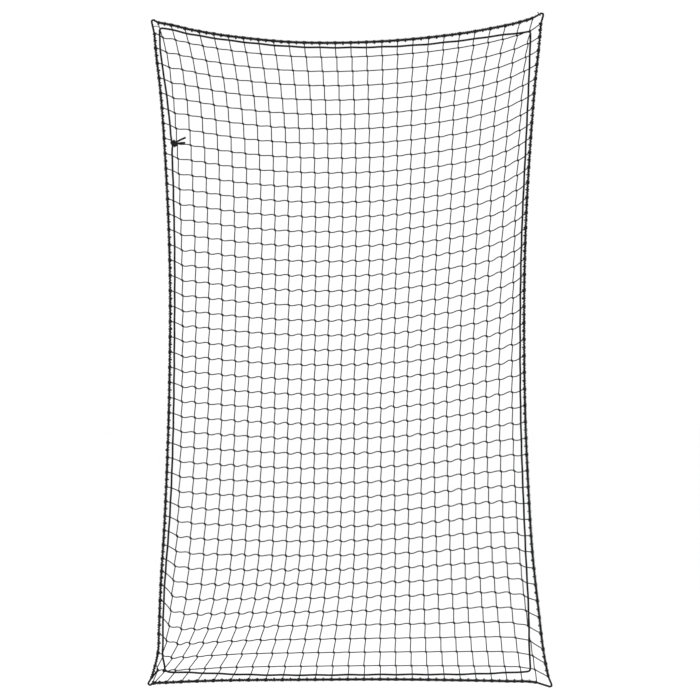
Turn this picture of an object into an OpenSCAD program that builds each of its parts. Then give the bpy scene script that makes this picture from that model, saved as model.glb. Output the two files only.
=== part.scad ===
// Sports net of knotted square mesh, hung by the rope eyes at its four corners.
// The net lies in the X-Z plane, its front faces -Y, and the origin is the centre of its box.

/* [Hanging points] */
// How far left of the middle the top left hook is
top_left_reach = 590; // [560:1:601]
// How far right of the middle the top right hook is
top_right_reach = 575; // [560:1:601]
// How far left or right of the middle each bottom hook is
bottom_reach = 600; // [580:1:620]
// Height of the top left hook above the middle
top_left_height = 985; // [960:1:1002]
// Height of the top right hook above the middle
top_right_height = 1005; // [980:1:1020]
// Depth of the bottom left hook below the middle
bottom_left_depth = 1000; // [980:1:1002]
// Depth of the bottom right hook below the middle
bottom_right_depth = 1005; // [980:1:1020]
// How deep the four sides curve in, as a share of the usual slack
slack = 1; // [0.5:0.05:1.2]

/* [Netting] */
// Number of meshes from side to side
meshes_across = 27; // [20:1:28]
// Diameter of the netting twine
twine_d = 4; // [3:0.2:4.4]
// Diameter of each mesh knot
knot_d = 8.4; // [8:0.2:10]

/* [Border rope] */
// Diameter of the border rope
rope_d = 7; // [6:0.5:8]
// Diameter of the hook or cord that each corner eye fits round
hook_d = 6; // [5:0.5:10]
// Diameter over a lashing hitch
hitch_d = 11; // [10.5:0.5:12]
// Length of the lashing hitch that holds each end of a twine
hitch_length = 7; // [5:0.5:9]

/* [Inner cord] */
// Diameter of the inner cord
cord_d = 6; // [5:0.5:7]
// Distance from the border rope to the inner cord, half way along a side
cord_inset = 15; // [13:1:18]
// The same distance at a corner
cord_corner_inset = 28; // [24:1:30]
// Diameter of the knot that ties the inner cord's ends together
tie_d = 18; // [16:1:22]
// Length of each cut end of the inner cord, from the middle of its knot
tail_length = 38; // [30:1:45]

/* [Folding] */
// Gap in ropes and twines along each fold line
fold_gap = 12; // [11:1:16]

/* [Hidden] */
BANDS = 4;
ROWS_PER_BAND = 11;
NODES = [
    "vertical_twines_1", "vertical_twines_2", "vertical_twines_3", "vertical_twines_4",
    "level_twines_1", "level_twines_2", "level_twines_3", "level_twines_4",
    "mesh_knots_1", "mesh_knots_2", "mesh_knots_3", "mesh_knots_4",
    "left_border_rope_1", "left_border_rope_2", "left_border_rope_3", "left_border_rope_4",
    "right_border_rope_1", "right_border_rope_2", "right_border_rope_3", "right_border_rope_4",
    "left_lashing_1", "left_lashing_2", "left_lashing_3", "left_lashing_4",
    "right_lashing_1", "right_lashing_2", "right_lashing_3", "right_lashing_4",
    "left_inner_cord_1", "left_inner_cord_2", "left_inner_cord_3", "left_inner_cord_4",
    "right_inner_cord_1", "right_inner_cord_2", "right_inner_cord_3", "right_inner_cord_4",
    "top_border_rope", "top_lashing", "top_inner_cord", "top_left_eye", "top_right_eye",
    "bottom_border_rope", "bottom_lashing", "bottom_inner_cord",
    "bottom_left_eye", "bottom_right_eye", "inner_cord_knot", "upper_cord_tail", "lower_cord_tail"
];
node = "all";

$fn = 32;
small = 0.001;
meshes_high = BANDS * ROWS_PER_BAND;
twine_r = twine_d / 2;
rope_r = rope_d / 2;
cord_r = cord_d / 2;
eye_r = (hook_d + rope_d) / 2;
// Twines and ropes are made of straight lengths, which meet inside the knots and hitches
meshes_per_twine_length = 3;
meshes_per_rope_length = 2;
joint_gap = 1;
// The vertical twines lie in front of the level ones, and the mesh knots hold both
knot_overhang = 0.4;
knot_depth = 2 * (twine_d + knot_overhang);
twine_to_rope = 0.8;
hitch_clearance = 0.05;
half_hitch_length = hitch_length / 2;
half_hitch_d = hitch_d - 1;
// The inner cord passes in front of the level twines and behind the vertical ones
cord_clearance = 0.1;
cord_y = cord_r + cord_clearance;
// Where along a side the inner cord's corner bend begins
cord_bend_across = 0.045;
cord_bend_down = 0.03;
// The share of that bend where the cord comes through the netting, from back to front
cord_through = [0.25, 0.625];
// Where the inner cord's ends are tied, down the left side
tie_fraction = 0.184;
upper_tail_angle = 26;
lower_tail_angle = 4;
// The cut ends stand clear of the mesh knots
tail_y = knot_depth / 2 + cord_y;
// Flat sides and spans of the bent bars that stand for rope eyes and the inner cord
bar_sides = 8;
cord_spans = 6;
bend_spans = 8;
eye_spans = 9;
rope_colour = [0.05, 0.05, 0.05];
twine_colour = [0.09, 0.09, 0.09];
lashing_colour = [0.07, 0.07, 0.07];
cord_colour = [0.03, 0.03, 0.03];

// Each side: [first corner, last corner, inward direction, [fraction along, bow in mm] points]
top_left = [-top_left_reach, top_left_height];
top_right = [top_right_reach, top_right_height];
bottom_left = [-bottom_reach, -bottom_left_depth];
bottom_right = [bottom_reach, -bottom_right_depth];
top_side = [top_left, top_right, [0, -1],
    [[0, 0], [0.05, 12], [0.1, 27], [0.2, 48], [0.35, 68], [0.5, 73],
     [0.65, 67], [0.8, 50], [0.9, 31], [0.95, 18], [1, 0]]];
bottom_side = [bottom_left, bottom_right, [0, 1],
    [[0, 0], [0.05, 3], [0.1, 6], [0.2, 10], [0.4, 13], [0.6, 15],
     [0.8, 13], [0.9, 11], [0.95, 10], [1, 0]]];
left_side = [top_left, bottom_left, [1, 0],
    [[0, 0], [0.05, 9], [0.1, 21], [0.15, 30], [0.25, 43], [0.35, 52], [0.45, 55],
     [0.6, 52], [0.75, 42], [0.85, 31], [0.92, 26], [0.955, 23], [1, 0]]];
right_side = [top_right, bottom_right, [-1, 0],
    [[0, 0], [0.05, 10], [0.1, 22], [0.2, 40], [0.3, 54], [0.4, 62], [0.5, 65],
     [0.6, 64], [0.7, 58], [0.8, 48], [0.9, 29], [0.95, 18], [1, 0]]];

function unit(v) = v / norm(v);
function mix(a, b, u) = a + (b - a) * u;
function angle_of(v) = atan2(v[1], v[0]);
function in_3d(p, y = 0) = [p[0], y, p[1]];

// Smooth curve through [fraction, value] points, level with its neighbours at each point
function slope_at(points, i) =
    let (a = points[max(i - 1, 0)], b = points[min(i + 1, len(points) - 1)])
    (b[1] - a[1]) / (b[0] - a[0]);
function smooth_between(points, i, f) =
    let (a = points[i], b = points[i + 1], width = b[0] - a[0], u = (f - a[0]) / width)
    a[1] * (1 + 2 * u) * pow(1 - u, 2) + b[1] * (3 - 2 * u) * u * u
    + width * u * (1 - u) * (slope_at(points, i) * (1 - u) - slope_at(points, i + 1) * u);
function bow_at(points, f) =
    let (spans = [for (n = [0 : len(points) - 2]) if (points[n + 1][0] >= f - small) n])
    smooth_between(points, spans[0], f);

// The border rope's centre line, as [x, z], at a fraction of the way along a side
function side_point(side, f) =
    mix(side[0], side[1], f) + side[2] * slack * bow_at(side[3], f);
function side_direction(side, f) =
    unit(side_point(side, f + small) - side_point(side, f - small));

// A corner eye ends at the first hitch of each side
eye_across = 1 / meshes_across;
eye_down = 1 / meshes_high;

// The inner cord's centre line lies inside the border rope's, further in near the corners
function inset_at(f) = mix(cord_inset, cord_corner_inset, pow(abs(2 * f - 1), 4));
function cord_point(side, f) = side_point(side, f) + side[2] * inset_at(f);
function cord_direction(side, f) =
    unit(cord_point(side, f + small) - cord_point(side, f - small));

tie_point = cord_point(left_side, tie_fraction);

// A point of the netting, across by s and down by t, blended from the four sides
function net_point(s, t) =
    mix(side_point(left_side, t), side_point(right_side, t), s)
    + mix(side_point(top_side, s), side_point(bottom_side, s), t)
    - mix(mix(top_left, top_right, s), mix(bottom_left, bottom_right, s), t);

// Band 1 is the top one. Fold lines run half way between two rows of knots
half_gap = fold_gap / 2 / (top_left_height + bottom_left_depth);
function band_start(band) =
    band == 1 ? 0 : ((band - 1) * ROWS_PER_BAND + 0.5) / meshes_high + half_gap;
function band_end(band) =
    band == BANDS ? 1 : (band * ROWS_PER_BAND + 0.5) / meshes_high - half_gap;
function band_rows(band) =
    [for (row = [(band - 1) * ROWS_PER_BAND + 1 : band * ROWS_PER_BAND])
        if (row < meshes_high) row];

// A straight round bar between two [x, z] points at depth y, stopping just short of both
module straight_bar(from, to, y, diameter) {
    run = to - from;
    translate(in_3d((from + to) / 2, y))
        rotate([0, 90 - angle_of(run), 0])
            cylinder(h = norm(run) - joint_gap, d = diameter, center = true);
}

module chain(points, y, diameter) {
    for (n = [0 : len(points) - 2])
        straight_bar(points[n], points[n + 1], y, diameter);
}

// A round bar of flat facets along 3-D points. Its ends face start and finish
module bent_bar(path, radius, start, finish) {
    last = len(path) - 1;
    function heading(i) =
        i == 0 ? start : i == last ? finish : unit(path[i + 1] - path[i - 1]);
    function ring(i) =
        let (along = heading(i), out = unit(cross(along, [0, 1, 0])), up = cross(out, along))
        [for (k = [0 : bar_sides - 1])
            path[i] + radius * (cos(360 * k / bar_sides) * out + sin(360 * k / bar_sides) * up)];
    points = [for (i = [0 : last]) each ring(i)];
    walls = [for (i = [0 : last - 1], k = [0 : bar_sides - 1])
        let (a = i * bar_sides + k, b = i * bar_sides + (k + 1) % bar_sides)
        each [[a, b, a + bar_sides], [b, b + bar_sides, a + bar_sides]]];
    first_cap = [for (k = [bar_sides - 1 : -1 : 0]) k];
    last_cap = [for (k = [0 : bar_sides - 1]) last * bar_sides + k];
    polyhedron(points, concat([first_cap], walls, [last_cap]));
}

// Twines start and end under the lashing, just clear of the border rope
function under_lashing(edge, inner) =
    edge + unit(inner - edge) * (rope_r + twine_to_rope);

module vertical_twines(band) {
    rows = band_rows(band);
    step = meshes_per_twine_length;
    color(twine_colour)
    for (column = [1 : meshes_across - 1]) {
        s = column / meshes_across;
        joints = [for (n = [step - 1 : step : len(rows) - 1])
            net_point(s, rows[n] / meshes_high)];
        top = band == 1 ? under_lashing(net_point(s, 0), joints[0])
                        : net_point(s, band_start(band));
        bottom = band == BANDS ? under_lashing(net_point(s, 1), joints[len(joints) - 1])
                               : net_point(s, band_end(band));
        chain(concat([top], joints, [bottom]), -twine_r, twine_d);
    }
}

module level_twines(band) {
    step = meshes_per_twine_length;
    color(twine_colour)
    for (row = band_rows(band)) {
        t = row / meshes_high;
        joints = [for (column = [step : step : meshes_across - 1])
            net_point(column / meshes_across, t)];
        left = under_lashing(net_point(0, t), joints[0]);
        right = under_lashing(net_point(1, t), joints[len(joints) - 1]);
        chain(concat([left], joints, [right]), twine_r, twine_d);
    }
}

module mesh_knots(band) {
    color(twine_colour)
    for (row = band_rows(band), column = [1 : meshes_across - 1])
        translate(in_3d(net_point(column / meshes_across, row / meshes_high)))
            rotate([90, 0, 0])
                cylinder(h = knot_depth, d = knot_d, center = true);
}

// Border rope through points at these fractions of a side
module border_rope(side, fractions) {
    color(rope_colour)
    chain([for (f = fractions) side_point(side, f)], 0, rope_d);
}
function side_rope_fractions(band) =
    let (rows = band_rows(band))
    concat(band == 1 ? [] : [band_start(band)],
        [for (n = [0 : meshes_per_rope_length : len(rows) - 1]) rows[n] / meshes_high],
        [band == BANDS ? 1 - eye_down : band_end(band)]);
level_rope_fractions = concat(
    [for (n = [1 : meshes_per_rope_length : meshes_across - 2]) n / meshes_across],
    [1 - eye_across]);

// One stretch of inner cord, from fraction f0 to f1 of a side
module inner_cord(side, f0, f1, y) {
    path = [for (n = [0 : cord_spans])
        in_3d(cord_point(side, mix(f0, f1, n / cord_spans)), y)];
    color(cord_colour)
    bent_bar(path, cord_r, in_3d(cord_direction(side, f0)), in_3d(cord_direction(side, f1)));
}

// A lashing hitch is a collar round the border rope
module hitch(side, f, length, diameter) {
    translate(in_3d(side_point(side, f)))
        rotate([0, 90 - angle_of(side_direction(side, f)), 0])
            difference() {
                cylinder(h = length, d = diameter, center = true);
                cylinder(h = 2 * length, r = rope_r + hitch_clearance, center = true);
            }
}

// A hitch stands at each mesh, with a smaller one half way to the next
module lashing(side, first, last, meshes) {
    color(lashing_colour)
    for (n = [first : last]) {
        hitch(side, n / meshes, hitch_length, hitch_d);
        if (n < last)
            hitch(side, (n + 0.5) / meshes, half_hitch_length, half_hitch_d);
    }
}

// The rope goes round the hook and leaves it towards the first hitch of each side
function contact_angle(hook, p, turn) =
    angle_of(p - hook) + turn * acos(eye_r / norm(p - hook));
module corner_eye(hook, from_side, from_f, to_side, to_f, from_sign, to_sign) {
    from_p = side_point(from_side, from_f);
    to_p = side_point(to_side, to_f);
    a0 = contact_angle(hook, from_p, 1);
    a1 = contact_angle(hook, to_p, -1);
    sweep = (a1 - a0 + 720) % 360;
    arc = [for (n = [0 : eye_spans])
        let (a = a0 + sweep * n / eye_spans) hook + eye_r * [cos(a), sin(a)]];
    color(rope_colour)
    bent_bar([for (p = concat([from_p], arc, [to_p])) in_3d(p)], rope_r,
        in_3d(from_sign * side_direction(from_side, from_f)),
        in_3d(to_sign * side_direction(to_side, to_f)));
}

// The inner cord's bend at a corner, from level cord behind to upright cord in front
function cord_bend_y(u) =
    let (through = (u - cord_through[0]) / (cord_through[1] - cord_through[0]))
    mix(cord_y, -cord_y, min(max(through, 0), 1));
function corner_bend(level_side, level_f, upright_side, upright_f, hook, inward) =
    let (a = cord_point(level_side, level_f), c = cord_point(upright_side, upright_f),
         b = hook + cord_corner_inset * inward)
    [for (n = [0 : bend_spans])
        let (u = n / bend_spans, p = a * pow(1 - u, 2) + b * 2 * u * (1 - u) + c * u * u)
        in_3d(p, cord_bend_y(u))];

// Inner cord along the top or bottom, with the bends at both of its corners
module level_inner_cord(side, left_f, right_f, left_hook, right_hook, inward_z) {
    bend = cord_bend_across;
    left = corner_bend(side, bend, left_side, left_f, left_hook, [1, inward_z]);
    right = corner_bend(side, 1 - bend, right_side, right_f, right_hook, [-1, inward_z]);
    middle = [for (n = [1 : meshes_across - 1])
        in_3d(cord_point(side, mix(bend, 1 - bend, n / meshes_across)), cord_y)];
    color(cord_colour)
    bent_bar(concat([for (n = [bend_spans : -1 : 0]) left[n]], middle, right), cord_r,
        in_3d(inward_z * cord_direction(left_side, left_f)),
        in_3d(-inward_z * cord_direction(right_side, right_f)));
}

// The two ends of the inner cord are tied, and the cut ends point inwards
module inner_cord_knot() {
    color(cord_colour)
    translate(in_3d(tie_point))
        sphere(d = tie_d);
}

// One cut end of the inner cord, tilted up by an angle
module cord_tail(angle, y) {
    color(cord_colour)
    translate(in_3d(tie_point, y))
        rotate([0, 90 - angle, 0])
            cylinder(h = tail_length, d = cord_d);
}

function shown(name) = node == "all" || node == name;

for (band = [1 : BANDS]) {
    rows = band_rows(band);
    first_row = rows[0];
    last_row = rows[len(rows) - 1];
    cord_f0 = max(band_start(band), cord_bend_down);
    cord_f1 = min(band_end(band), 1 - cord_bend_down);
    if (shown(str("vertical_twines_", band))) vertical_twines(band);
    if (shown(str("level_twines_", band))) level_twines(band);
    if (shown(str("mesh_knots_", band))) mesh_knots(band);
    if (shown(str("left_border_rope_", band)))
        border_rope(left_side, side_rope_fractions(band));
    if (shown(str("right_border_rope_", band)))
        border_rope(right_side, side_rope_fractions(band));
    if (shown(str("left_lashing_", band)))
        lashing(left_side, first_row, last_row, meshes_high);
    if (shown(str("right_lashing_", band)))
        lashing(right_side, first_row, last_row, meshes_high);
    if (shown(str("left_inner_cord_", band)))
        inner_cord(left_side, cord_f0, cord_f1, -cord_y);
    if (shown(str("right_inner_cord_", band)))
        inner_cord(right_side, cord_f0, cord_f1, -cord_y);
}
if (shown("top_border_rope")) border_rope(top_side, level_rope_fractions);
if (shown("bottom_border_rope")) border_rope(bottom_side, level_rope_fractions);
if (shown("top_lashing")) lashing(top_side, 1, meshes_across - 1, meshes_across);
if (shown("bottom_lashing")) lashing(bottom_side, 1, meshes_across - 1, meshes_across);
if (shown("top_inner_cord"))
    level_inner_cord(top_side, cord_bend_down, cord_bend_down, top_left, top_right, -1);
if (shown("bottom_inner_cord"))
    level_inner_cord(bottom_side, 1 - cord_bend_down, 1 - cord_bend_down,
        bottom_left, bottom_right, 1);
if (shown("top_left_eye"))
    corner_eye(top_left, top_side, eye_across, left_side, eye_down, -1, 1);
if (shown("top_right_eye"))
    corner_eye(top_right, right_side, eye_down, top_side, 1 - eye_across, -1, -1);
if (shown("bottom_left_eye"))
    corner_eye(bottom_left, left_side, 1 - eye_down, bottom_side, eye_across, 1, 1);
if (shown("bottom_right_eye"))
    corner_eye(bottom_right, bottom_side, 1 - eye_across, right_side, 1 - eye_down, 1, -1);
if (shown("inner_cord_knot")) inner_cord_knot();
if (shown("upper_cord_tail")) cord_tail(upper_tail_angle, tail_y);
if (shown("lower_cord_tail")) cord_tail(lower_tail_angle, -tail_y);
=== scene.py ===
"""A sports net of knotted square mesh, hung by the rope eyes at its four corners.

The net lies in the X-Z plane with its front towards -Y, and all lengths are in metres.
Each kind of piece is made in three zones, upper, middle and lower, cut from one another
at rows of knots.
"""

import math

import bpy
import numpy as np
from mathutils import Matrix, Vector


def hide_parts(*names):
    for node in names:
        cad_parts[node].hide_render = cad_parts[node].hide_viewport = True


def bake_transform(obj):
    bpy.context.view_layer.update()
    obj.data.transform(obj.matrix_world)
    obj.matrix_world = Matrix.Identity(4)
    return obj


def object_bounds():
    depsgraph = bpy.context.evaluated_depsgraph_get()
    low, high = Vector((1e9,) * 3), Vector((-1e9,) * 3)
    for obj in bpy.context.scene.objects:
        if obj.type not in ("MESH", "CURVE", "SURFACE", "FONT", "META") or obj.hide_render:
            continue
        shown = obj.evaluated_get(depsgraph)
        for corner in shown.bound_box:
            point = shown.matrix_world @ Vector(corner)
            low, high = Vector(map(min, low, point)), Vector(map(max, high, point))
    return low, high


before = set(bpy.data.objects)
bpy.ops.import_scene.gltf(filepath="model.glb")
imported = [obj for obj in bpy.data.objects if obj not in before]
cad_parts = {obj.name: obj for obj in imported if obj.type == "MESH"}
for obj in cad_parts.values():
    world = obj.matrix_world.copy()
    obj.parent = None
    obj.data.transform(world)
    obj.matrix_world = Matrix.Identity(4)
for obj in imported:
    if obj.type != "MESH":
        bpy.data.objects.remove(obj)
cad_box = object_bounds()
rng = np.random.default_rng(27)

MM = 0.001

# ---------------------------------------------------------------- design
# Border corners as [x, z], each the middle of a rope eye
CORNERS = {
    "top_left": np.array([-590, 985]) * MM,
    "top_right": np.array([575, 1005]) * MM,
    "bottom_left": np.array([-600, -1000]) * MM,
    "bottom_right": np.array([600, -1005]) * MM,
}
# Each side of the border: its two corners, its inward direction, and lists of
# (fraction along, millimetres) for how far the rope bows in, how far the hitches have slid
# along it from even spacing, and how far inside the rope the inner cord lies
SIDES = {
    "top": {
        "ends": ("top_left", "top_right"), "inward": (0, -1),
        "bow": ((0, 0), (0.05, 12), (0.1, 27), (0.2, 48), (0.35, 68), (0.5, 73),
                (0.65, 67), (0.8, 50), (0.9, 31), (0.95, 18), (1, 0)),
        "slide": ((0, 0), (0.04, -30), (0.3, -30), (0.8, 15), (0.95, 20), (1, 0)),
        "inset": ((0, 15), (0.2, 13), (0.5, 15), (0.7, 20), (0.8, 22), (0.9, 27), (1, 42)),
    },
    "bottom": {
        "ends": ("bottom_left", "bottom_right"), "inward": (0, 1),
        "bow": ((0, 0), (0.05, 3), (0.1, 6), (0.2, 10), (0.4, 13), (0.6, 15),
                (0.8, 13), (0.9, 11), (0.95, 10), (1, 0)),
        "slide": ((0, 0), (0.04, -40), (0.08, -80), (0.2, -80), (0.35, -50), (0.8, 0),
                  (0.95, 5), (1, 0)),
        "inset": ((0, 36), (0.1, 27), (0.2, 19), (0.3, 15), (0.5, 14), (0.7, 16), (0.8, 19),
                  (0.9, 26), (1, 33)),
    },
    "left": {
        "ends": ("top_left", "bottom_left"), "inward": (1, 0),
        "bow": ((0, 0), (0.05, 9), (0.1, 21), (0.15, 30), (0.25, 43), (0.35, 52), (0.45, 55),
                (0.6, 52), (0.75, 42), (0.85, 31), (0.92, 26), (0.955, 23), (1, 0)),
        "slide": ((0, 0), (0.02, -10), (0.25, -10), (0.6, 0), (0.8, -10), (0.87, -25),
                  (0.95, -5), (0.98, 30), (1, 0)),
        "inset": ((0, 17), (0.05, 14), (0.15, 20), (0.2, 21), (0.3, 17), (0.45, 13), (0.7, 15),
                  (0.95, 13), (0.98, 33), (1, 45)),
    },
    "right": {
        "ends": ("top_right", "bottom_right"), "inward": (-1, 0),
        "bow": ((0, 0), (0.05, 10), (0.1, 22), (0.2, 40), (0.3, 54), (0.4, 62), (0.5, 65),
                (0.6, 64), (0.7, 58), (0.8, 48), (0.9, 29), (0.95, 18), (1, 0)),
        "slide": ((0, 0), (0.02, -20), (0.14, -40), (0.4, -45), (0.6, -15), (0.85, 20),
                  (0.93, 30), (0.98, 20), (1, 0)),
        "inset": ((0, 32), (0.05, 26), (0.1, 19), (0.2, 13), (0.3, 11), (0.5, 12), (0.7, 16),
                  (0.8, 20), (0.9, 32), (1, 54)),
    },
}
MESHES_ACROSS = 27
MESHES_HIGH = 44
# Radii, the last that of the rope's bend round each corner
TWINE_R = 2 * MM
ROPE_R = 3.5 * MM
LASHING_R = 1.0 * MM
CORD_R = 3 * MM
EYE_R = 5 * MM
# Half the distance between the level twines, behind, and the vertical ones, in front
LAYER_Y = TWINE_R

# The rows of knots where one zone is cut from the next
CUT_ROWS = (17, 28)
# Zones: name, first and last row, and the two bodies that the zone joins
ZONES = (
    ("upper", 0, CUT_ROWS[0], ("top_band", "upper_band")),
    ("middle", *CUT_ROWS, ("upper_band", "lower_band")),
    ("lower", CUT_ROWS[1], MESHES_HIGH, ("lower_band", "bottom_band")),
)


def zone_number(zone):
    return [name for name, *_ in ZONES].index(zone)


def mesh_count(side):
    """How many meshes lie along a side."""
    return MESHES_ACROSS if side in ("top", "bottom") else MESHES_HIGH


# ---------------------------------------------------------------- camera
def add_camera():
    camera = bpy.data.cameras.new("camera")
    camera.lens = 135
    camera.sensor_width = 36
    view_width = 2.1
    shot = bpy.data.objects.new("camera", camera)
    shot.location = (0, -view_width * camera.lens / camera.sensor_width, 0)
    shot.rotation_euler = (math.pi / 2, 0, 0)
    bpy.context.scene.collection.objects.link(shot)
    bpy.context.scene.camera = shot


add_camera()


# ---------------------------------------------------------------- curves
# Steps from each point to the next in a curve drawn through points
CURVE_STEPS = 6


def smooth(points, f):
    """Value at f of the smooth curve through (fraction, value) points."""
    x, y = np.array(points, float).T
    slope = np.empty_like(y)
    slope[1:-1] = (y[2:] - y[:-2]) / (x[2:] - x[:-2])
    slope[0] = (y[1] - y[0]) / (x[1] - x[0])
    slope[-1] = (y[-1] - y[-2]) / (x[-1] - x[-2])
    f = np.clip(np.asarray(f, float), x[0], x[-1])
    i = np.clip(np.searchsorted(x, f, side="right") - 1, 0, len(x) - 2)
    width = x[i + 1] - x[i]
    u = (f - x[i]) / width
    value = y[i] * (1 + 2 * u) * (1 - u) ** 2 + y[i + 1] * (3 - 2 * u) * u * u
    return value + width * u * (1 - u) * (slope[i] * (1 - u) - slope[i + 1] * u)


def side_point(side, f):
    """The border rope's centre line, as [x, z], at a fraction of the way along a side."""
    s = SIDES[side]
    a, b = (CORNERS[name] for name in s["ends"])
    f = np.asarray(f, float)[..., None]
    return a + (b - a) * f + np.array(s["inward"]) * smooth(s["bow"], f) * MM


def cord_point(side, f):
    """The inner cord's centre line, as [x, z], at a fraction of the way along a side."""
    f = np.asarray(f, float)
    inset = smooth(SIDES[side]["inset"], f)[..., None] * MM
    return side_point(side, f) + np.array(SIDES[side]["inward"]) * inset


def hitch_fraction(side, f):
    """Where the hitch that even spacing would put at f has slid to."""
    a, b = (CORNERS[name] for name in SIDES[side]["ends"])
    return f + smooth(SIDES[side]["slide"], f) * MM / np.linalg.norm(b - a)


def in_3d(points, y=0.0):
    """[x, z] points at depth y as [x, y, z]."""
    points = np.asarray(points, float)
    y = np.broadcast_to(np.asarray(y, float), points.shape[:-1])
    return np.stack([points[..., 0], y, points[..., 1]], -1)


def unit(v):
    return v / np.maximum(np.linalg.norm(v, axis=-1, keepdims=True), 1e-12)


def through(points):
    """A Catmull-Rom curve through the points."""
    p = np.asarray(points, float)
    p = np.concatenate([[2 * p[0] - p[1]], p, [2 * p[-1] - p[-2]]])
    u = np.arange(CURVE_STEPS)[:, None] / CURVE_STEPS
    out = []
    for a, b, c, d in zip(p, p[1:], p[2:], p[3:]):
        out.append(0.5 * (2 * b + (c - a) * u + (2 * a - 5 * b + 4 * c - d) * u ** 2
                          + (3 * b - a - 3 * c + d) * u ** 3))
    return np.concatenate(out + [p[-2:-1]])


def length_along(path):
    steps = np.linalg.norm(np.diff(path, axis=-2), axis=-1)
    return np.concatenate([np.zeros(steps.shape[:-1] + (1,)), np.cumsum(steps, -1)], -1)


def at_lengths(path, s, marks):
    """The path's points at some lengths along it, where s is the length at each of its own."""
    return np.stack([np.interp(marks, s, column) for column in path.T], -1)


def evenly(path, spacing):
    """The path again, with points about this far apart."""
    s = length_along(path)
    return at_lengths(path, s, np.linspace(0, s[-1], max(2, int(round(s[-1] / spacing)) + 1)))


# ---------------------------------------------------------------- hanging the netting
# A bar of twine between two knots pulls softly towards its curled length, and hard once taut
CURLED_HIGH, TAUT_HIGH, SOFT_HIGH = 40 * MM, 44.5 * MM, 0.02
CURLED_ACROSS, TAUT_ACROSS, SOFT_ACROSS = 34 * MM, 46 * MM, 0.1
# How strongly the knots keep each vertical twine straight
BENDING = 0.2
# What pulls each knot down, and what more does so on the first vertical twine, where the
# inner cord is tied
WEIGHT = 0.01 * MM
FIRST_TWINE_WEIGHT = 0.2 * MM
# The knots settle in steps of time, and keep this share of their speed in each
RELAX_STEPS = 600
TIME_STEP = 0.35
DAMPING = 0.985


def even_netting():
    """The knots before they are let go, [column, row] blended from the four sides."""
    s = (np.arange(MESHES_ACROSS + 1) / MESHES_ACROSS)[:, None, None]
    t = (np.arange(MESHES_HIGH + 1) / MESHES_HIGH)[None, :, None]
    edge = {side: side_point(side, hitch_fraction(side, v.ravel()))
            for side, v in (("top", s), ("bottom", s), ("left", t), ("right", t))}
    a, b, c, d = (CORNERS[n] for n in ("top_left", "top_right", "bottom_left", "bottom_right"))
    across = edge["left"][None] * (1 - s) + edge["right"][None] * s
    down = edge["top"][:, None] * (1 - t) + edge["bottom"][:, None] * t
    return across + down - (a * (1 - s) + b * s) * (1 - t) - (c * (1 - s) + d * s) * t


def bar_pull(step, curled, taut, soft):
    length = np.linalg.norm(step, axis=2, keepdims=True)
    return (soft * (length - curled) + np.maximum(0, length - taut)) * step / length


def hung_netting():
    """The knots once the twines between them have settled."""
    p = even_netting()
    v = np.zeros_like(p)
    for _ in range(RELAX_STEPS):
        force = np.zeros_like(p)
        pull = bar_pull(p[:, 1:] - p[:, :-1], CURLED_HIGH, TAUT_HIGH, SOFT_HIGH)
        force[:, :-1] += pull
        force[:, 1:] -= pull
        pull = bar_pull(p[1:] - p[:-1], CURLED_ACROSS, TAUT_ACROSS, SOFT_ACROSS)
        force[:-1] += pull
        force[1:] -= pull
        bend = BENDING * (p[:, 2:] - 2 * p[:, 1:-1] + p[:, :-2])
        force[:, 1:-1] += 2 * bend
        force[:, 2:] -= bend
        force[:, :-2] -= bend
        force[..., 1] -= WEIGHT
        force[1, :, 1] -= FIRST_TWINE_WEIGHT
        force[[0, -1]] = 0
        force[:, [0, -1]] = 0
        v = (v + TIME_STEP * force) * DAMPING
        p = p + TIME_STEP * v
    return p


KNOTS = hung_netting()


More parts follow.
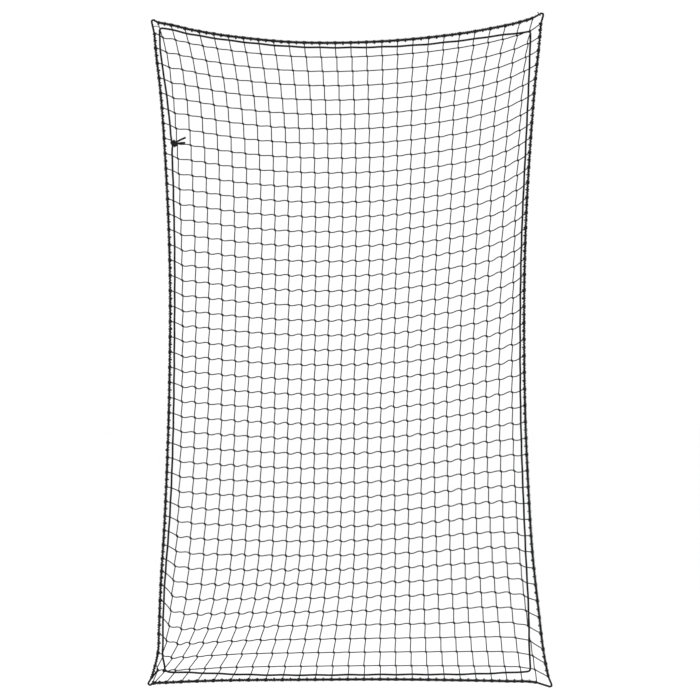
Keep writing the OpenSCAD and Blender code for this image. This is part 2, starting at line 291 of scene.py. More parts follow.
# ---------------------------------------------------------------- mesh making
class Strands:
    """Swept strands gathered into one mesh, with what their materials need to know."""

    def __init__(self):
        self.points, self.fibre, self.tone, self.quads, self.tris = [], [], [], [], []
        self.count = 0

    def add(self, paths, across, radius, profile, pitch=None):
        """Sweeps a profile along paths (strands, rings, 3).

        across is the direction that each ring's first point leans to, profile an array of radii
        as shares of radius, and pitch the length in which the profile turns once, if it does.
        """
        paths = np.asarray(paths, float)
        if paths.ndim == 2:
            paths = paths[None]
        strands, rings, _ = paths.shape
        sides = len(profile)
        heading = unit(np.gradient(paths, axis=1))
        across = np.broadcast_to(np.asarray(across, float), paths.shape)
        out = unit(across - (across * heading).sum(-1, keepdims=True) * heading)
        up = np.cross(heading, out)
        along = length_along(paths)
        base = np.arange(sides) * 2 * math.pi / sides
        angle = base + along[..., None] * (2 * math.pi / pitch if pitch else 0.0)
        reach = np.broadcast_to(radius * profile, angle.shape)
        ring = (paths[:, :, None] + reach[..., None] * (
            np.cos(angle)[..., None] * out[:, :, None] + np.sin(angle)[..., None] * up[:, :, None]))
        fibre = np.stack([reach * np.cos(base), reach * np.sin(base),
                          np.broadcast_to(along[..., None], reach.shape)], -1)
        tone = np.broadcast_to(rng.random(strands)[:, None, None], reach.shape)
        index = self.count + np.arange(strands * rings * sides).reshape(strands, rings, sides)
        nxt = np.roll(index, -1, axis=2)
        quads = np.stack([index[:, :-1], nxt[:, :-1], nxt[:, 1:], index[:, 1:]], -1)
        self.quads.append(quads.reshape(-1, 4))
        self.points.append(ring.reshape(-1, 3))
        self.fibre.append(fibre.reshape(-1, 3))
        self.tone.append(tone.ravel())
        self.count += strands * rings * sides
        # A fan closes each end, with its triangles turned to face outwards
        for end, flip in ((0, True), (-1, False)):
            middle = self.count + np.arange(strands)
            fan = np.stack([np.broadcast_to(middle[:, None], index[:, end].shape),
                            index[:, end], nxt[:, end]], -1).reshape(-1, 3)
            self.tris.append(fan[:, ::-1] if flip else fan)
            self.points.append(paths[:, end])
            self.fibre.append(np.stack([0 * along[:, end], 0 * along[:, end], along[:, end]], -1))
            self.tone.append(tone[:, end, 0])
            self.count += strands

    def build(self, name, material, nodes):
        """Makes the piece and hides the CAD nodes that it replaces."""
        points = np.concatenate(self.points)
        quads = np.concatenate(self.quads)
        tris = np.concatenate(self.tris)
        mesh = bpy.data.meshes.new(name)
        mesh.vertices.add(len(points))
        mesh.vertices.foreach_set("co", points.astype(np.float32).ravel())
        corners = np.concatenate([quads.ravel(), tris.ravel()]).astype(np.int32)
        sizes = np.concatenate([np.full(len(quads), 4), np.full(len(tris), 3)])
        starts = np.concatenate([[0], np.cumsum(sizes)[:-1]]).astype(np.int32)
        mesh.loops.add(len(corners))
        mesh.loops.foreach_set("vertex_index", corners)
        mesh.polygons.add(len(sizes))
        mesh.polygons.foreach_set("loop_start", starts)
        mesh.polygons.foreach_set("use_smooth", np.ones(len(sizes), bool))
        mesh.update(calc_edges=True)
        fibre = mesh.attributes.new("fibre", "FLOAT_VECTOR", "POINT")
        fibre.data.foreach_set("vector", np.concatenate(self.fibre).astype(np.float32).ravel())
        tone = mesh.attributes.new("tone", "FLOAT", "POINT")
        tone.data.foreach_set("value", np.concatenate(self.tone).astype(np.float32))
        mesh.materials.append(material)
        piece = bpy.data.objects.new(name, mesh)
        bpy.context.scene.collection.objects.link(piece)
        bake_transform(piece)
        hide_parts(*nodes)


# How many strands a rope or twine is laid from, and their radius as a share of the whole's
STRANDS_LAID = 3
STRAND_SHARE = 0.52


def laid_profile(sides):
    """Outline of a laid rope by its number of points, as shares of its radius."""
    phi = (np.arange(sides) / sides * STRANDS_LAID + 0.5) % 1 - 0.5
    phi = phi * 2 * math.pi / STRANDS_LAID
    apart = 1 - STRAND_SHARE
    return apart * np.cos(phi) + np.sqrt(STRAND_SHARE ** 2 - (apart * np.sin(phi)) ** 2)


TWINE_PROFILE = laid_profile(9)
ROPE_PROFILE = laid_profile(18)
ROUND_6 = np.ones(6)


# ---------------------------------------------------------------- materials
SHEEN, SHEEN_ROUGHNESS = 0.02, 0.5
SPECULAR = 0.16
# The noise that makes the streaks is drawn out along the fibre by this share
STREAK_STRETCH, STREAK_DETAIL = 0.12, 3
PATCH_SCALE, PATCH_DETAIL = 35, 2
# How much each strand's own tone lightens it
TONE_LIFT = 0.25
# Where the ramp from the dark colour to the light one begins and ends
RAMP = (0.15, 0.75)
ROUGHNESS_SPREAD = 0.12
BUMP_STRENGTH = 0.7


def fibre_material(name, dark, light, streaks, roughness, bump_depth):
    """Black fibre with streaks along it, faded patches, a faint sheen and a fibre bump.

    dark and light are its two colours, and streaks is the scale of the streaks' noise.
    """
    mat = bpy.data.materials.new(name)
    mat.use_nodes = True
    tree = mat.node_tree
    shader = tree.nodes["Principled BSDF"]
    shader.inputs["Sheen Weight"].default_value = SHEEN
    shader.inputs["Sheen Roughness"].default_value = SHEEN_ROUGHNESS
    shader.inputs["Specular IOR Level"].default_value = SPECULAR
    shader.inputs["Base Color"].default_value = (*dark, 1)

    def add(kind, **values):
        node = tree.nodes.new(kind)
        for key, value in values.items():
            setattr(node, key, value)
        return node

    def link(a, b):
        tree.links.new(a, b)

    fibre = add("ShaderNodeAttribute", attribute_name="fibre")
    tone = add("ShaderNodeAttribute", attribute_name="tone")

    def noise(place, scale, detail):
        """A noise at a place along the fibre, shifted by the strand's tone."""
        shifted = add("ShaderNodeVectorMath", operation="ADD")
        link(place, shifted.inputs[0])
        link(tone.outputs["Fac"], shifted.inputs[1])
        node = add("ShaderNodeTexNoise")
        node.inputs["Scale"].default_value = scale
        node.inputs["Detail"].default_value = detail
        link(shifted.outputs[0], node.inputs["Vector"])
        return node.outputs["Fac"]

    stretch = add("ShaderNodeVectorMath", operation="MULTIPLY")
    stretch.inputs[1].default_value = (1, 1, STREAK_STRETCH)
    link(fibre.outputs["Vector"], stretch.inputs[0])
    streak = noise(stretch.outputs[0], streaks, STREAK_DETAIL)
    patch = noise(fibre.outputs["Vector"], PATCH_SCALE, PATCH_DETAIL)

    share = add("ShaderNodeMath", operation="MULTIPLY")
    link(streak, share.inputs[0])
    link(patch, share.inputs[1])
    lift = add("ShaderNodeMath", operation="MULTIPLY_ADD")
    lift.inputs[1].default_value = TONE_LIFT
    link(tone.outputs["Fac"], lift.inputs[0])
    link(share.outputs[0], lift.inputs[2])
    ramp = add("ShaderNodeValToRGB")
    for element, position, colour in zip(ramp.color_ramp.elements, RAMP, (dark, light)):
        element.position = position
        element.color = (*colour, 1)
    link(lift.outputs[0], ramp.inputs["Fac"])
    link(ramp.outputs["Color"], shader.inputs["Base Color"])

    rough = add("ShaderNodeMapRange")
    rough.inputs["To Min"].default_value = roughness - ROUGHNESS_SPREAD
    rough.inputs["To Max"].default_value = roughness + ROUGHNESS_SPREAD
    link(streak, rough.inputs["Value"])
    link(rough.outputs["Result"], shader.inputs["Roughness"])

    bump = add("ShaderNodeBump")
    bump.inputs["Strength"].default_value = BUMP_STRENGTH
    bump.inputs["Distance"].default_value = bump_depth
    link(streak, bump.inputs["Height"])
    link(bump.outputs["Normal"], shader.inputs["Normal"])
    return mat


TWINE_MATERIAL = fibre_material(
    "netting_twine", dark=(0.006, 0.006, 0.0065), light=(0.022, 0.022, 0.023),
    streaks=3500, roughness=0.6, bump_depth=0.15 * MM)
LASHING_MATERIAL = fibre_material(
    "lashing_twine", dark=(0.005, 0.005, 0.0055), light=(0.020, 0.020, 0.021),
    streaks=4500, roughness=0.62, bump_depth=0.12 * MM)
ROPE_MATERIAL = fibre_material(
    "border_rope", dark=(0.004, 0.004, 0.0045), light=(0.016, 0.016, 0.017),
    streaks=2500, roughness=0.58, bump_depth=0.25 * MM)
CORD_MATERIAL = fibre_material(
    "inner_cord", dark=(0.004, 0.004, 0.0042), light=(0.011, 0.011, 0.012),
    streaks=3000, roughness=0.5, bump_depth=0.15 * MM)


# ---------------------------------------------------------------- netting
TWINE_PITCH = 20 * MM
# A vertical twine leaves its knot this far below its middle and to the right of it, and
# arrives at the next as far above and to the left
KNOT_HALF_HEIGHT = 3 * MM
KNOT_JOG = 1.5 * MM
# Rings in a vertical twine between two knots, and in a level one from each knot to the next
RINGS_IN_BAR = 14
LEVEL_RINGS = RINGS_IN_BAR + 2
# How far a twine strays in depth between two knots
TWINE_WANDER = 0.5 * MM
# A level twine leaves each knot downwards and drops into the next, in a wave that is deeper
# where the knots are closer together than its length of twine
LEVEL_BAR_TWINE = 45 * MM
S_WAVE_BASE = 6 * MM
S_WAVE_SLACK = 7 * MM
S_WAVE_VARIATION = 0.18
# How deep the waves are from the top row to the bottom one, as a share
S_WAVE_BY_HEIGHT = ((0, 0.5), (0.15, 0.6), (0.3, 1), (0.75, 1.2), (0.87, 1.5), (0.95, 0.8),
                    (1, 0.3))
# How steeply a row's first bar leaves the rope and meets its knot, as shares of its fall
FIRST_BAR_LEAVES, FIRST_BAR_ARRIVES = 0.3, 1.5


def level_rows(first_row, last_row):
    """The rows of a zone's level twines and mesh knots. Its first row is the zone above's."""
    return range(first_row + 1, min(last_row, MESHES_HIGH - 1) + 1)


def wander(u, bars):
    """How far each point of the bars strays in depth."""
    return TWINE_WANDER * np.sin(math.pi * u[..., 0]) * rng.uniform(-1, 1, bars.shape[:2] + (1,))


def vertical_paths(first_row, last_row):
    """Vertical twines, [column, ring, 3]. Each shifts a little to the right within a knot."""
    knots = KNOTS[1:-1, first_row:last_row + 1]
    jog = np.array([KNOT_JOG, -KNOT_HALF_HEIGHT])
    leave = knots[:, :-1] + jog
    arrive = knots[:, 1:] - jog
    if first_row == 0:
        leave[:, 0] = knots[:, 0]
    if last_row == MESHES_HIGH:
        arrive[:, -1] = knots[:, -1]
    u = np.linspace(0, 1, RINGS_IN_BAR)[None, None, :, None]
    bars = leave[:, :, None] * (1 - u) + arrive[:, :, None] * u
    bars = in_3d(bars, -LAYER_Y + wander(u, bars))
    middles = in_3d(knots, -LAYER_Y)[:, :, None]
    columns = len(knots)
    body = np.concatenate([middles[:, :-1], bars], 2).reshape(columns, -1, 3)
    if first_row == 0:
        body = body[:, 1:]
    if last_row != MESHES_HIGH:
        body = np.concatenate([body, middles[:, -1]], 1)
    return body


def level_paths(first_row, last_row):
    """Level twines of a zone's rows, [row, ring, 3], in a wave between knots."""
    rows = level_rows(first_row, last_row)
    knots = KNOTS[:, rows].transpose(1, 0, 2)
    a, b = knots[:, :-1], knots[:, 1:]
    chord = np.linalg.norm(b - a, axis=-1)
    slack = np.clip(LEVEL_BAR_TWINE - chord, 0, None) / MM
    wave = S_WAVE_BASE + S_WAVE_SLACK * np.sqrt(slack)
    depth = smooth(S_WAVE_BY_HEIGHT, np.array(rows) / MESHES_HIGH)
    wave = wave * depth[:, None] * (1 + S_WAVE_VARIATION * rng.standard_normal(wave.shape))
    chord_x, chord_z = b[..., 0] - a[..., 0], b[..., 1] - a[..., 1]
    leave_z, arrive_z = chord_z - wave, chord_z - wave
    # The first bar leaves the rope nearly level, and the last one comes straight to it
    leave_z[:, 0] = FIRST_BAR_LEAVES * chord_z[:, 0]
    arrive_z[:, 0] = FIRST_BAR_ARRIVES * chord_z[:, 0]
    arrive_z[:, -1] = chord_z[:, -1]
    leave = np.stack([chord_x, leave_z], -1)[:, :, None]
    arrive = np.stack([chord_x, arrive_z], -1)[:, :, None]
    a, b = a[:, :, None], b[:, :, None]
    u = (np.arange(LEVEL_RINGS) / LEVEL_RINGS)[None, None, :, None]
    h_a, h_b = (1 + 2 * u) * (1 - u) ** 2, (3 - 2 * u) * u * u
    bars = a * h_a + b * h_b + leave * u * (1 - u) ** 2 - arrive * u * u * (1 - u)
    bars = in_3d(bars, LAYER_Y + wander(u, bars))
    last = in_3d(knots[:, -1:], LAYER_Y)
    return np.concatenate([bars.reshape(len(knots), -1, 3), last], 1)


# A mesh knot's wraps, round an axis that falls to the right
MESH_KNOT = {"turns": 2.4, "pitch": 2.3 * MM, "wide": 2.2 * MM, "deep": 3.3 * MM, "rings": 26}
MESH_KNOT_R = 1.35 * MM
MESH_KNOT_TILT, MESH_KNOT_TILT_SPREAD = math.radians(-45), 0.15
MESH_KNOT_SIZES = (0.92, 1.1)
# How far in a wrap's ends are tucked, and how much of each half of it that takes, as shares
TUCK, TUCK_LENGTH = 0.55, 0.25


def wrap_path(turns, pitch, wide, deep, rings):
    """Turns of twine round the X axis, tucked in at both ends."""
    u = np.linspace(-0.5, 0.5, rings)
    angle = 2 * math.pi * turns * u
    tuck = 1 - TUCK * np.clip(np.abs(u) * 2 - (1 - TUCK_LENGTH), 0, 1) / TUCK_LENGTH
    return np.stack([pitch * turns * u, deep * tuck * np.sin(angle),
                     wide * tuck * np.cos(angle)], -1)


def placed(path, centres, tilt, sizes):
    """Copies of a path at each centre (x, y, z), turned by tilt in the X-Z plane."""
    c, s = np.cos(tilt)[:, None], np.sin(tilt)[:, None]
    x, y, z = path.T
    turned = np.stack([x * c - z * s, np.broadcast_to(y, (len(tilt), len(y))), x * s + z * c], -1)
    return turned * sizes[:, None, None] + centres[:, None]


def from_middle(wraps):
    """The direction from each wrap's middle to each of its rings."""
    return wraps - wraps.mean(-2, keepdims=True)


def knot_paths(first_row, last_row):
    """The wraps of a zone's mesh knots, [knot, ring, 3]."""
    centres = in_3d(KNOTS[1:-1, level_rows(first_row, last_row)].reshape(-1, 2))
    count = len(centres)
    tilt = MESH_KNOT_TILT + rng.normal(0, MESH_KNOT_TILT_SPREAD, count)
    return placed(wrap_path(**MESH_KNOT), centres, tilt, rng.uniform(*MESH_KNOT_SIZES, count))


# ---------------------------------------------------------------- border rope and lashing
ROPE_PITCH = 24 * MM
ROPE_RING = 2.5 * MM
# Points along a side's line for winding the lashing, and how many times fewer for the rope
FINE = 4000
ROPE_COARSER = 10
EYE_POINTS = 13


def rope_run(side, f0, f1):
    """The border rope's line along a side between two fractions, in either direction."""
    steps = max(2, int(abs(f1 - f0) * FINE / ROPE_COARSER))
    return side_point(side, np.linspace(f0, f1, steps))


def eye_arc(corner, from_p, to_p, clockwise=True):
    """The rope's way round a corner, from one hitch to the other, over the outside."""
    sign = -1 if clockwise else 1

    def contact(p, turn):
        away = p - corner
        return math.atan2(away[1], away[0]) + turn * math.acos(EYE_R / np.linalg.norm(away))

    a0 = contact(from_p, sign)
    a1 = contact(to_p, -sign)
    sweep = (sign * (a1 - a0)) % (2 * math.pi)
    a = a0 + sign * sweep * np.linspace(0, 1, EYE_POINTS)
    return corner + EYE_R * np.stack([np.cos(a), np.sin(a)], -1)


def first_hitch(side):
    return float(hitch_fraction(side, 1 / mesh_count(side)))


def last_hitch(side):
    return float(hitch_fraction(side, 1 - 1 / mesh_count(side)))


def row_fraction(side, row):
    return float(hitch_fraction(side, row / MESHES_HIGH))


def rope_lines():
    """The border rope's line in each zone, as a list of [x, z] paths."""
    cut_a, cut_b = CUT_ROWS
    up_left = rope_run("left", row_fraction("left", cut_a), first_hitch("left"))
    over = rope_run("top", first_hitch("top"), last_hitch("top"))
    down_right = rope_run("right", first_hitch("right"), row_fraction("right", cut_a))
    upper = np.concatenate([
        up_left, eye_arc(CORNERS["top_left"], up_left[-1], over[0]),
        over, eye_arc(CORNERS["top_right"], over[-1], down_right[0]), down_right])
    middle = [rope_run(side, row_fraction(side, cut_a), row_fraction(side, cut_b))
              for side in ("left", "right")]
    down_left = rope_run("left", row_fraction("left", cut_b), last_hitch("left"))
    under = rope_run("bottom", first_hitch("bottom"), last_hitch("bottom"))
    up_right = rope_run("right", last_hitch("right"), row_fraction("right", cut_b))
    lower = np.concatenate([
        down_left, eye_arc(CORNERS["bottom_left"], down_left[-1], under[0], False),
        under, eye_arc(CORNERS["bottom_right"], under[-1], up_right[0], False), up_right])
    return {"upper": [upper], "middle": middle, "lower": [lower]}


# The hitch at each mesh and the half hitch between two: the turns that it adds to the lashing,
# the length of rope that they take, and how much of OVERLAP they stand out
HITCH = (3.2, 9 * MM, 0.55)
HALF_HITCH = (1.2, 5 * MM, 0.8)
OVERLAP = 0.8 * MM
OVERLAP_SPREAD = (0.5, 1.3)
# The lashing's pitch between hitches, and how far outside the rope its middle lies
OPEN_PITCHES = {"top": 5 * MM, "bottom": 5 * MM, "left": 8 * MM, "right": 8 * MM}
LASHING_OUT = 0.85 * LASHING_R
LASHING_RINGS_PER_TURN = 10


def lashing_path(side, first, last):
    """Lashing twine wound round the rope from hitch first to hitch last of a side.

    Returns the twine's line, and the direction outwards from the rope at each of its points.
    """
    count = mesh_count(side)
    f = np.linspace(*hitch_fraction(side, np.array([first, last]) / count), FINE)
    line = side_point(side, f)
    s = length_along(line)
    even = np.linspace(first, last, (last - first) * 2 + 1) / count
    marks = np.interp(hitch_fraction(side, even), f, s)
    turns = s / OPEN_PITCHES[side]
    radius = np.full(FINE, ROPE_R + LASHING_OUT)
    for n, mark in enumerate(marks):
        added, width, height = HALF_HITCH if n % 2 else HITCH
        turns = turns + added * np.clip((s - mark) / width + 0.5, 0, 1)
        hump = np.clip(1 - ((s - mark) / (0.5 * width)) ** 2, 0, 1)
        radius += OVERLAP * height * hump * rng.uniform(*OVERLAP_SPREAD)
    wanted = np.arange(turns[0], turns[-1], 1 / LASHING_RINGS_PER_TURN)
    at = np.interp(wanted, turns, s)
    heading = at_lengths(unit(np.gradient(line, axis=0)), s, at)
    outward = in_3d(np.stack([-heading[:, 1], heading[:, 0]], -1))
    angle = 2 * math.pi * wanted[:, None]
    spoke = np.cos(angle) * outward + np.sin(angle) * np.array([0, 1.0, 0])
    return in_3d(at_lengths(line, s, at)) + spoke * np.interp(at, s, radius)[:, None], spoke


# The knots that tie the netting to the rope, and how far outside the rope they lie
HITCH_KNOT = {"turns": 1.9, "pitch": 1.9 * MM, "wide": 1.9 * MM, "deep": 2.0 * MM, "rings": 20}
HITCH_KNOT_OUT = 1.1 * MM
# How far they stray in depth, in mm
HITCH_KNOT_STRAY = 1.5
HITCH_KNOT_SIZES = (0.7, 1.2)
# The size of a knot at a mesh, as a share of one between two meshes
FULL_KNOT_SIZE = 0.9
# The share of the knots between two meshes that lie on the rope's outer side
OUTSIDE_SHARE = 0.06


def hitch_knots(side, first, last):
    """Small knots where the netting is tied to the rope, nearly all on its inner side."""
    even = np.arange(first, last, 0.5)
    count = len(even)
    full = np.arange(count) % 2 == 0
    outside = rng.random(count) < OUTSIDE_SHARE
    reach = np.where(full | ~outside, 1.0, -1.0)[:, None]
    inward = np.array(SIDES[side]["inward"], float)
    on_rope = side_point(side, hitch_fraction(side, even / mesh_count(side)))
    centres = in_3d(on_rope + inward * reach * (ROPE_R + HITCH_KNOT_OUT),
                    rng.uniform(-HITCH_KNOT_STRAY, HITCH_KNOT_STRAY, count) * MM)
    tilt = rng.uniform(0, math.pi, count)
    sizes = np.where(full, FULL_KNOT_SIZE, 1.0) * rng.uniform(*HITCH_KNOT_SIZES, count)
    return placed(wrap_path(**HITCH_KNOT), centres, tilt, sizes)


LOOSE_R = 1.3 * LASHING_R
# Loose and extra lengths of lashing twine, as [x, y, z] points in mm
CORNER_TIE = ((-594, -2, 974), (-590, -4, 970), (-581, -4, 971), (-573, -4, 968), (-566, -3, 962))
TOP_STUB = ((572, -3, 1002), (567, -4, 1005), (564, -3, 1012), (561, -3, 1013))
LOWER_LOOPS = (
    ((-597, -3, -986), (-590, -6, -976), (-584, -6, -966), (-588, -6, -960), (-592, -5, -968),
     (-596, -4, -979), (-601, -3, -989)),
    ((-600, -2, -988), (-590, -3, -975), (-572, -3, -962), (-553, -3, -956)),
)
LOOSE_ENDS = {"upper": (CORNER_TIE, TOP_STUB), "middle": (), "lower": LOWER_LOOPS}


# ---------------------------------------------------------------- inner cord
CORD_RING = 2.5 * MM
CORD_PITCH = 40 * MM
# How far the cord's middle passes from a twine's
CORD_CLEAR = CORD_R + TWINE_R
# A smooth cord with low ribs
CORD_POINTS, CORD_RIB = 16, 0.03
CORD_PROFILE = 1 + CORD_RIB * np.cos(np.arange(CORD_POINTS) * math.pi)
CORD_SIDE_POINTS = 400
# The cord rounds each corner over this length of the side before and after it
CORNER_REACH = 9 * MM
CORNER_POINTS = 12
# Where the inner cord's four sides begin and end, as fractions of the border's sides
CORD_ENDS = {"top": (0.016, 0.972), "right": (0.025, 0.98), "bottom": (0.95, 0.0445),
             "left": (0.982, 0.01)}
# The ends are tied on the left side. Points are [x, y, z] in mm from the tail's cut end
# through the knot and on to where the cord meets its side
UPPER_TAIL = ((-492.5, -3, 637.5), (-499, -3, 634.5), (-507, -2.8, 631), (-515, -2.6, 627),
              (-521, -2.6, 623.5), (-527, -2.6, 620.5), (-532, -2.4, 622), (-535, -1, 628),
              (-536.5, 0, 636), (-538, 0, 647))
LOWER_TAIL = ((-494.5, 1.5, 622), (-502, 2, 621.5), (-509, 2.4, 621), (-516, 2.6, 620),
              (-522, 2.6, 618.5), (-527, 2.6, 617), (-531, 2.4, 614), (-533, 1, 608),
              (-533.5, 0, 600), (-534, 0, 592))
# How many of the side's points are left out where a tail's curve meets it
TAIL_GAP = 2
TIE = {"turns": 2.9, "pitch": 4.9 * MM, "wide": 8.2 * MM, "deep": 6.4 * MM, "rings": 60}
TIE_R = 0.96 * CORD_R
TIE_CENTRE = np.array([-528, 0, 619]) * MM
TIE_AXIS_ANGLE = math.radians(33)


def cord_side(side):
    return cord_point(side, np.linspace(*CORD_ENDS[side], CORD_SIDE_POINTS))


def trimmed(path):
    """The path without the lengths at its two ends where the cord rounds a corner."""
    s = length_along(path)
    return at_lengths(path, s, np.linspace(CORNER_REACH, s[-1] - CORNER_REACH, len(path)))


def cord_round():
    """The inner cord's line all round, clockwise from the left side's bottom corner."""
    sides = [cord_side(side) for side in ("left", "top", "right", "bottom")]
    line = []
    for here, after in zip(sides, sides[1:] + sides[:1]):
        corner = (here[-1] + after[0]) / 2
        here, after = trimmed(here), trimmed(after)
        u = np.linspace(0, 1, CORNER_POINTS)[1:-1, None]
        bend = here[-1] * (1 - u) ** 2 + corner * 2 * u * (1 - u) + after[0] * u * u
        line += [here, bend]
    return np.concatenate(line)


# The cord meets each twine within this many rings of its ends
END_RINGS = LEVEL_RINGS + 1
# It crosses only the twines that it runs across, by the least sideways share of its heading
LEAST_ACROSS = 0.7


def crossings(line):
    """Where along the cord's line each twine crosses it, and that twine's depth."""
    marks = length_along(line)
    found = []
    for axis, depth, twines in ((1, LAYER_Y, LEVEL_LINES), (0, -LAYER_Y, VERTICAL_LINES)):
        for twine in twines:
            for piece in (twine[:END_RINGS], twine[-END_RINGS:]):
                gap = np.linalg.norm(line[:, None] - piece[None, :, [0, 2]], axis=-1)
                at = np.unravel_index(gap.argmin(), gap.shape)
                heading = line[min(at[0] + 1, len(line) - 1)] - line[max(at[0] - 1, 0)]
                if abs(unit(heading)[axis]) > LEAST_ACROSS:
                    found.append((marks[at[0]], depth))
    return sorted(found)


def woven(line):
    """The cord's line in 3-D, passing in front of one twine and behind the next."""
    marks, found = length_along(line), crossings(line)
    at = np.array([mark for mark, _ in found])
    sign = np.where(np.arange(len(found)) % 2 == 0, 1, -1)
    y = np.array([depth for _, depth in found]) + sign * CORD_CLEAR
    n = np.clip(np.searchsorted(at, marks) - 1, 0, len(at) - 2)
    u = np.clip((marks - at[n]) / np.maximum(at[n + 1] - at[n], 1e-6), 0, 1)
    return in_3d(line, y[n] + (y[n + 1] - y[n]) * u * u * (3 - 2 * u))


def cord_paths():
    """The inner cord's 3-D paths in each zone, up the left side and down the right one."""
    line = woven(cord_round())
    # Where the line passes each cut and the tie
    left = line[:, 0] < 0
    climbing = np.arange(len(line)) < len(line) // 2
    cuts = [side_point("left", row_fraction("left", row))[1] for row in CUT_ROWS]
    tie_above, tie_below = UPPER_TAIL[-1][2] * MM, LOWER_TAIL[-1][2] * MM
    start = np.flatnonzero(climbing & left & (line[:, 2] > tie_above))[0]
    right_side = ~left & (np.arange(len(line)) > len(line) // 4)
    stop = [np.flatnonzero(right_side & (line[:, 2] < cut))[0] for cut in cuts]
    rise = [np.flatnonzero(climbing & left & (line[:, 2] > cut))[0] for cut in cuts]
    end = np.flatnonzero(climbing & left & (line[:, 2] < tie_below))[-1]
    upper = np.concatenate([through(np.array(UPPER_TAIL) * MM),
                            line[start + TAIL_GAP:stop[0] + 1]])
    tail = np.concatenate([through(np.array(LOWER_TAIL) * MM),
                           line[rise[0]:end + 1 - TAIL_GAP][::-1]])
    middle = [line[rise[1]:rise[0] + 1], line[stop[0]:stop[1] + 1]]
    lower = np.concatenate([line[stop[1]:], line[:rise[1] + 1]])
    return {"upper": [upper, tail], "middle": middle, "lower": [lower]}


def tie_path():
    """The wraps of the knot that ties the inner cord's two ends."""
    return placed(wrap_path(**TIE), TIE_CENTRE[None], np.array([TIE_AXIS_ANGLE]), np.ones(1))[0]


# ---------------------------------------------------------------- building
# The edge of the net that is in a zone, where there is one
EDGES = {"upper": "top", "lower": "bottom"}
# The CAD nodes of each border kind that only an edge has
EDGE_NODES = {
    "border_rope": {"upper": ["top_border_rope", "top_left_eye", "top_right_eye"],
                    "lower": ["bottom_border_rope", "bottom_left_eye", "bottom_right_eye"]},
    "lashing": {"upper": ["top_lashing"], "lower": ["bottom_lashing"]},
    "inner_cord": {"upper": ["top_inner_cord", "upper_cord_tail", "lower_cord_tail"],
                   "lower": ["bottom_inner_cord"]},
}


def band_nodes(kind, zone):
    """The CAD nodes of a kind in the two bands that a zone covers."""
    number = zone_number(zone) + 1
    return [f"{kind}_{band}" for band in (number, number + 1)]


def border_nodes(kind, zone):
    """The CAD nodes of a border kind in a zone, on both sides and on its edge."""
    return (band_nodes("left_" + kind, zone) + band_nodes("right_" + kind, zone)
            + EDGE_NODES[kind].get(zone, []))


def build_netting(kind, zone, *sweep):
    """One piece of netting, from what Strands.add takes."""
    strands = Strands()
    strands.add(*sweep)
    strands.build(f"{kind}_{zone}", TWINE_MATERIAL, band_nodes(kind, zone))


# The twines' lines, which the inner cord is woven through
LEVEL_LINES, VERTICAL_LINES = [], list(vertical_paths(0, MESHES_HIGH))
for zone, first_row, last_row, _ in ZONES:
    paths = vertical_paths(first_row, last_row)
    build_netting("vertical_twines", zone, paths, (0, 1, 0), TWINE_R, TWINE_PROFILE, TWINE_PITCH)
    paths = level_paths(first_row, last_row)
    LEVEL_LINES += list(paths)
    build_netting("level_twines", zone, paths, (0, 1, 0), TWINE_R, TWINE_PROFILE, TWINE_PITCH)
    paths = knot_paths(first_row, last_row)
    build_netting("mesh_knots", zone, paths, from_middle(paths), MESH_KNOT_R, ROUND_6)

for zone, lines in rope_lines().items():
    rope = Strands()
    for line in lines:
        rope.add(in_3d(evenly(line, ROPE_RING)), (0, 1, 0), ROPE_R, ROPE_PROFILE, ROPE_PITCH)
    rope.build("border_rope_" + zone, ROPE_MATERIAL,
               border_nodes("border_rope", zone))

for zone, first_row, last_row, _ in ZONES:
    lashing = Strands()
    rows = max(first_row, 1), min(last_row, MESHES_HIGH - 1)
    runs = [(side, *rows) for side in ("left", "right")]
    if zone in EDGES:
        runs.append((EDGES[zone], 1, MESHES_ACROSS - 1))
    for run in runs:
        path, spoke = lashing_path(*run)
        lashing.add(path, spoke[None], LASHING_R, ROUND_6)
        paths = hitch_knots(*run)
        lashing.add(paths, from_middle(paths), LASHING_R, ROUND_6)
    for points in LOOSE_ENDS[zone]:
        lashing.add(through(np.array(points) * MM), (0, 1, 0.1), LOOSE_R, ROUND_6)
    lashing.build("lashing_" + zone, LASHING_MATERIAL,
                  border_nodes("lashing", zone))

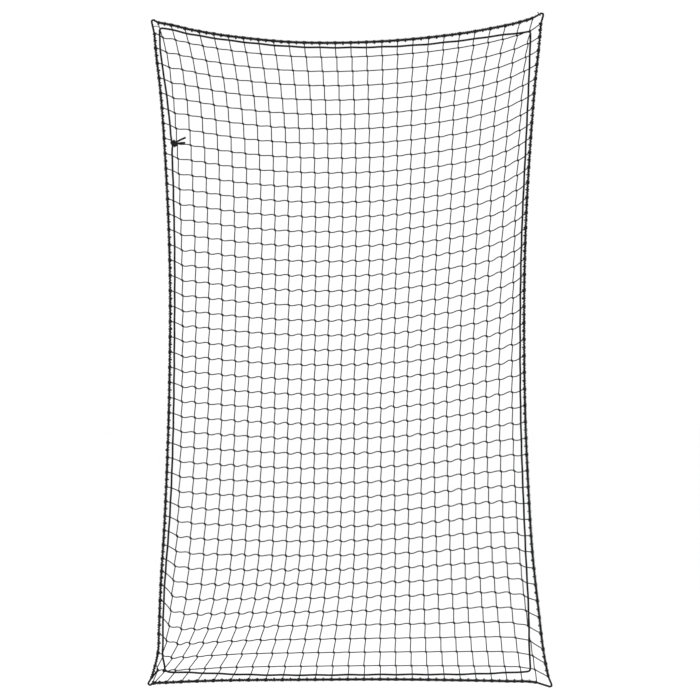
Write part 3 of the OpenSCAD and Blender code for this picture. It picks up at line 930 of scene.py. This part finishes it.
for zone, paths in cord_paths().items():
    cord = Strands()
    for path in paths:
        cord.add(evenly(path, CORD_RING), (0.1, 1, 0), CORD_R, CORD_PROFILE, CORD_PITCH)
    cord.build("inner_cord_" + zone, CORD_MATERIAL,
               border_nodes("inner_cord", zone))

tie = Strands()
path = tie_path()
tie.add(path, from_middle(path), TIE_R, CORD_PROFILE)
tie.build("inner_cord_tie", CORD_MATERIAL, ["inner_cord_knot"])


# ---------------------------------------------------------------- studio
# The net hangs clear of the floor
FLOOR_GAP = 0.35
FLOOR_RADIUS, FLOOR_POINTS = 40, 96
FLOOR_WHITE, FLOOR_ROUGHNESS = 0.98, 0.9
WORLD_STRENGTH = 1.02
LAMP_SIZE, LAMP_POWER = 2.0, 16
LAMPS = {"key": (-2.5, -3.5, 2.5), "fill": (3.5, -3, 1.5),
         "back_key": (2.5, 3.5, 2.5), "back_fill": (-3.5, 3, 1.5)}


def add_lamp(name, place):
    """An area lamp that faces the middle of the net."""
    light = bpy.data.lights.new(name, "AREA")
    light.size = LAMP_SIZE
    light.energy = LAMP_POWER
    lamp = bpy.data.objects.new(name, light)
    lamp.location = place
    lamp.rotation_euler = (-lamp.location).to_track_quat("-Z", "Y").to_euler()
    bpy.context.scene.collection.objects.link(lamp)


def studio():
    world = bpy.data.worlds.new("studio")
    world.use_nodes = True
    background = world.node_tree.nodes["Background"]
    background.inputs["Color"].default_value = (1, 1, 1, 1)
    background.inputs["Strength"].default_value = WORLD_STRENGTH
    bpy.context.scene.world = world
    bpy.context.scene.view_settings.view_transform = "Standard"

    bpy.ops.mesh.primitive_circle_add(vertices=FLOOR_POINTS, radius=FLOOR_RADIUS, fill_type="NGON",
                                      location=(0, 0, cad_box[0].z - FLOOR_GAP))
    floor = bpy.context.object
    floor.name = "floor"
    paint = bpy.data.materials.new("floor")
    paint.use_nodes = True
    shader = paint.node_tree.nodes["Principled BSDF"]
    shader.inputs["Base Color"].default_value = (FLOOR_WHITE, FLOOR_WHITE, FLOOR_WHITE, 1)
    shader.inputs["Roughness"].default_value = FLOOR_ROUGHNESS
    floor.data.materials.append(paint)
    for name, place in LAMPS.items():
        add_lamp(name, place)


studio()
